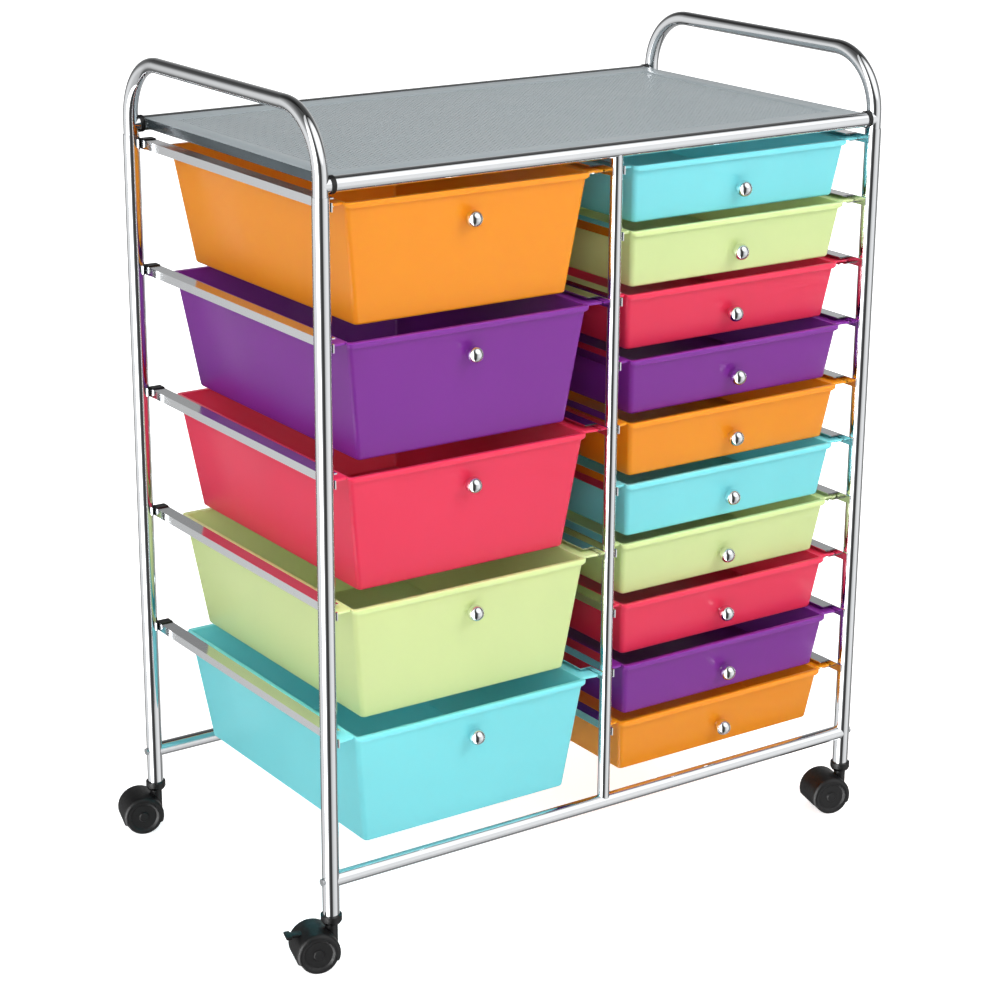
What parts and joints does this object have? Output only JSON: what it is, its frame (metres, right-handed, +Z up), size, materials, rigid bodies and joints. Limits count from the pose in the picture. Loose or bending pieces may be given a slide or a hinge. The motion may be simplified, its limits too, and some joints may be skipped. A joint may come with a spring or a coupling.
{
  "type": "rolling drawer cart",
  "caption": "Rolling craft cart with a tall and a short column of sliding plastic drawers in a chrome tube frame, a perforated top shelf and side handles.",
  "frame": {"origin": "on the floor, under the middle of the whole cart's outline", "axes": "+X to the cart's right seen from the front, -Y the way the drawers open, +Z up"},
  "size_m": [0.6786, 0.4032, 0.802],
  "materials": {
    "chrome_tube": "polished chrome plate on steel tube",
    "chrome_rail": "bright chrome plate on folded steel",
    "chrome_knob": "polished chrome",
    "zinc_screw": "bright zinc plate",
    "grey_sheet": "satin grey powder coat on perforated sheet",
    "black_plastic": "satin moulded nylon",
    "black_wheel": "satin moulded nylon",
    "orange_plastic": "smooth polypropylene",
    "purple_plastic": "smooth polypropylene",
    "red_plastic": "smooth polypropylene",
    "lime_plastic": "smooth polypropylene",
    "aqua_plastic": "smooth polypropylene"
  },
  "bodies": {
    "frame": {"post_front_left": "chrome_tube", "post_rear_left": "chrome_tube", "post_front_right": "chrome_tube", "post_rear_right": "chrome_tube", "post_front_centre": "chrome_tube", "bottom_bar_front": "chrome_tube", "top_bar_front": "chrome_tube", "post_rear_centre": "chrome_tube", "bottom_bar_rear": "chrome_tube", "top_bar_rear": "chrome_tube", "handle_left": "chrome_tube", "handle_right": "chrome_tube", "top_tray": "grey_sheet", "bar_end_rings": "black_plastic", "frame_screws": "zinc_screw", "rails_left": "chrome_rail", "rails_centre_left": "chrome_rail", "rails_centre_right": "chrome_rail", "rails_right": "chrome_rail", "rail_end_stops": "black_plastic", "caster_sockets": "black_plastic"},
    "deep_drawer_1": {"drawer_deep_1": "orange_plastic", "knob_deep_1": "chrome_knob"},
    "deep_drawer_2": {"drawer_deep_2": "purple_plastic", "knob_deep_2": "chrome_knob"},
    "deep_drawer_3": {"drawer_deep_3": "red_plastic", "knob_deep_3": "chrome_knob"},
    "deep_drawer_4": {"drawer_deep_4": "lime_plastic", "knob_deep_4": "chrome_knob"},
    "deep_drawer_5": {"drawer_deep_5": "aqua_plastic", "knob_deep_5": "chrome_knob"},
    "shallow_drawer_1": {"drawer_shallow_1": "aqua_plastic", "knob_shallow_1": "chrome_knob"},
    "shallow_drawer_2": {"drawer_shallow_2": "lime_plastic", "knob_shallow_2": "chrome_knob"},
    "shallow_drawer_3": {"drawer_shallow_3": "red_plastic", "knob_shallow_3": "chrome_knob"},
    "shallow_drawer_4": {"drawer_shallow_4": "purple_plastic", "knob_shallow_4": "chrome_knob"},
    "shallow_drawer_5": {"drawer_shallow_5": "orange_plastic", "knob_shallow_5": "chrome_knob"},
    "shallow_drawer_6": {"drawer_shallow_6": "aqua_plastic", "knob_shallow_6": "chrome_knob"},
    "shallow_drawer_7": {"drawer_shallow_7": "lime_plastic", "knob_shallow_7": "chrome_knob"},
    "shallow_drawer_8": {"drawer_shallow_8": "red_plastic", "knob_shallow_8": "chrome_knob"},
    "shallow_drawer_9": {"drawer_shallow_9": "purple_plastic", "knob_shallow_9": "chrome_knob"},
    "shallow_drawer_10": {"drawer_shallow_10": "orange_plastic", "knob_shallow_10": "chrome_knob"},
    "caster_front_left": {"caster_hood_front_left": "black_plastic"},
    "wheels_front_left": {"caster_wheels_front_left": "black_wheel"},
    "caster_rear_left": {"caster_hood_rear_left": "black_plastic"},
    "wheels_rear_left": {"caster_wheels_rear_left": "black_wheel"},
    "caster_front_right": {"caster_hood_front_right": "black_plastic"},
    "wheels_front_right": {"caster_wheels_front_right": "black_wheel"},
    "caster_rear_right": {"caster_hood_rear_right": "black_plastic"},
    "wheels_rear_right": {"caster_wheels_rear_right": "black_wheel"},
    "brake_front_left": {"brake_lever_front_left": "black_plastic"}
  },
  "joints": [
    {"name": "deep_drawer_1_slide", "type": "slide", "parent": "frame", "child": "deep_drawer_1", "axis": [0, -1, 0], "range_m": [-0.007, 0.263]},
    {"name": "deep_drawer_2_slide", "type": "slide", "parent": "frame", "child": "deep_drawer_2", "axis": [0, -1, 0], "range_m": [-0.009, 0.261]},
    {"name": "deep_drawer_3_slide", "type": "slide", "parent": "frame", "child": "deep_drawer_3", "axis": [0, -1, 0], "range_m": [-0.008, 0.262]},
    {"name": "deep_drawer_4_slide", "type": "slide", "parent": "frame", "child": "deep_drawer_4", "axis": [0, -1, 0], "range_m": [-0.012, 0.258]},
    {"name": "deep_drawer_5_slide", "type": "slide", "parent": "frame", "child": "deep_drawer_5", "axis": [0, -1, 0], "range_m": [-0.015, 0.255]},
    {"name": "shallow_drawer_1_slide", "type": "slide", "parent": "frame", "child": "shallow_drawer_1", "axis": [0, -1, 0], "range_m": [-0.006, 0.264]},
    {"name": "shallow_drawer_2_slide", "type": "slide", "parent": "frame", "child": "shallow_drawer_2", "axis": [0, -1, 0], "range_m": [-0.005, 0.265]},
    {"name": "shallow_drawer_3_slide", "type": "slide", "parent": "frame", "child": "shallow_drawer_3", "axis": [0, -1, 0], "range_m": [0, 0.27]},
    {"name": "shallow_drawer_4_slide", "type": "slide", "parent": "frame", "child": "shallow_drawer_4", "axis": [0, -1, 0], "range_m": [-0.008, 0.262]},
    {"name": "shallow_drawer_5_slide", "type": "slide", "parent": "frame", "child": "shallow_drawer_5", "axis": [0, -1, 0], "range_m": [-0.008, 0.262]},
    {"name": "shallow_drawer_6_slide", "type": "slide", "parent": "frame", "child": "shallow_drawer_6", "axis": [0, -1, 0], "range_m": [-0.006, 0.264]},
    {"name": "shallow_drawer_7_slide", "type": "slide", "parent": "frame", "child": "shallow_drawer_7", "axis": [0, -1, 0], "range_m": [-0.001, 0.269]},
    {"name": "shallow_drawer_8_slide", "type": "slide", "parent": "frame", "child": "shallow_drawer_8", "axis": [0, -1, 0], "range_m": [-0.003, 0.267]},
    {"name": "shallow_drawer_9_slide", "type": "slide", "parent": "frame", "child": "shallow_drawer_9", "axis": [0, -1, 0], "range_m": [-0.0085, 0.2615]},
    {"name": "shallow_drawer_10_slide", "type": "slide", "parent": "frame", "child": "shallow_drawer_10", "axis": [0, -1, 0], "range_m": [-0.004, 0.266]},
    {"name": "caster_front_left_swivel", "type": "hinge", "parent": "frame", "child": "caster_front_left", "pos_m": [-0.29624, -0.18152, 0.045], "axis": [0, 0, 1], "continuous": true},
    {"name": "wheels_front_left_spin", "type": "hinge", "parent": "caster_front_left", "child": "wheels_front_left", "pos_m": [-0.312, -0.177, 0.019], "axis": [0.2756, 0.9613, 0], "continuous": true},
    {"name": "caster_rear_left_swivel", "type": "hinge", "parent": "frame", "child": "caster_rear_left", "pos_m": [-0.29624, 0.17248, 0.045], "axis": [0, 0, 1], "continuous": true},
    {"name": "wheels_rear_left_spin", "type": "hinge", "parent": "caster_rear_left", "child": "wheels_rear_left", "pos_m": [-0.312, 0.177, 0.019], "axis": [0.2756, 0.9613, 0], "continuous": true},
    {"name": "caster_front_right_swivel", "type": "hinge", "parent": "frame", "child": "caster_front_right", "pos_m": [0.32776, -0.18152, 0.045], "axis": [0, 0, 1], "continuous": true},
    {"name": "wheels_front_right_spin", "type": "hinge", "parent": "caster_front_right", "child": "wheels_front_right", "pos_m": [0.312, -0.177, 0.019], "axis": [0.2756, 0.9613, 0], "continuous": true},
    {"name": "caster_rear_right_swivel", "type": "hinge", "parent": "frame", "child": "caster_rear_right", "pos_m": [0.32776, 0.17248, 0.045], "axis": [0, 0, 1], "continuous": true},
    {"name": "wheels_rear_right_spin", "type": "hinge", "parent": "caster_rear_right", "child": "wheels_rear_right", "pos_m": [0.312, 0.177, 0.019], "axis": [0.2756, 0.9613, 0], "continuous": true},
    {"name": "brake_front_left_tilt", "type": "hinge", "parent": "caster_front_left", "child": "brake_front_left", "pos_m": [-0.32161, -0.17424, 0.0345], "axis": [0.2756, 0.9613, 0], "range_deg": [-15, 0]}
  ]
}
